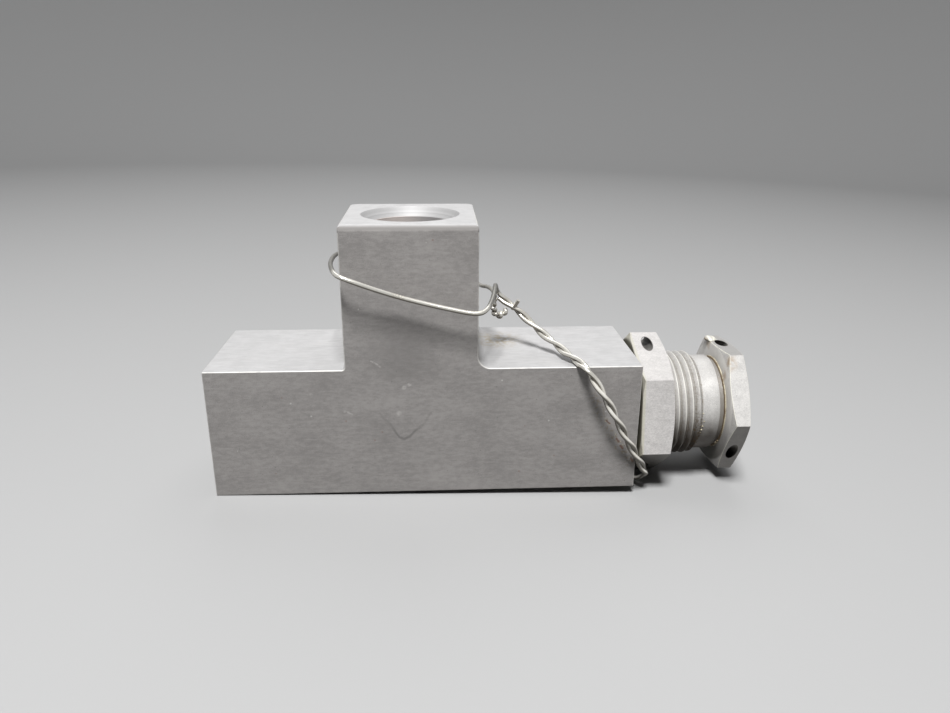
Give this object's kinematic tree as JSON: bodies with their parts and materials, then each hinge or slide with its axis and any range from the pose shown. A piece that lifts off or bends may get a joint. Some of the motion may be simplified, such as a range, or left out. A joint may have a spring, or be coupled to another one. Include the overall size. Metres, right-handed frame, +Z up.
{
  "type": "thermal relief valve",
  "caption": "Aluminium tee-block relief valve with ports in its upright and left end, a spring-loaded poppet, a hex adjusting plug with jam nut, and twisted lock wire.",
  "frame": {"origin": "centre of the block's base straight below the upright port's axis, halfway through the block's depth", "axes": "+X along the bar and its bores to the adjusting plug, +Z up along the upright and its port, -Y out of the face that shows in the picture"},
  "size_m": [0.0775, 0.024, 0.0402],
  "materials": {
    "block_aluminium": "machined, satin, with fine scratches and stains",
    "nut_aluminium": "machined, satin",
    "plug_aluminium": "machined, satin, with dirt in its thread",
    "lockwire_steel": "drawn wire, bright",
    "stainless": "turned",
    "spring_steel": "drawn",
    "ball_steel": "polished",
    "screen_steel": "perforated sheet, plain",
    "seal_rubber": "matte black",
    "soft_face": "matte black, hard",
    "backup_plastic": "white, waxy"
  },
  "bodies": {
    "valve_body": {"tee_body": "block_aluminium", "jam_nut": "nut_aluminium", "lockwire": "lockwire_steel", "inlet_screen": "screen_steel", "screen_ring": "spring_steel", "valve_seat": "stainless", "seat_o_ring": "seal_rubber", "poppet_cage": "stainless", "relief_spring": "spring_steel"},
    "poppet_group": {"poppet": "stainless", "poppet_seal": "soft_face", "seal_washer": "stainless", "seal_screw": "stainless", "front_spring_seat": "stainless"},
    "spring_carrier": {"rear_spring_seat": "stainless", "thrust_ball": "ball_steel"},
    "adjuster": {"adjusting_plug": "plug_aluminium", "plug_o_ring": "seal_rubber", "inner_backup_ring": "backup_plastic", "outer_backup_ring": "backup_plastic"}
  },
  "joints": [
    {"name": "poppet_lift", "type": "slide", "parent": "valve_body", "child": "poppet_group", "axis": [1, 0, 0], "range_m": [0, 0.0015], "stiffness_N_per_m": 4000, "springref_m": -0.005, "deforming": ["relief_spring"]},
    {"name": "adjuster_travel", "type": "slide", "parent": "valve_body", "child": "spring_carrier", "axis": [-1, 0, 0], "range_m": [-0.0015, 0.0035], "deforming": ["relief_spring"]},
    {"name": "adjuster_turn", "type": "hinge", "parent": "spring_carrier", "child": "adjuster", "pos_m": [0, 0, 0.00953], "axis": [-1, 0, 0], "range_deg": [-511, 1191]}
  ],
  "couplings": [
    {"joint": "adjuster_turn", "follows": "adjuster_travel", "rad_per_m": 5936.9}
  ]
}
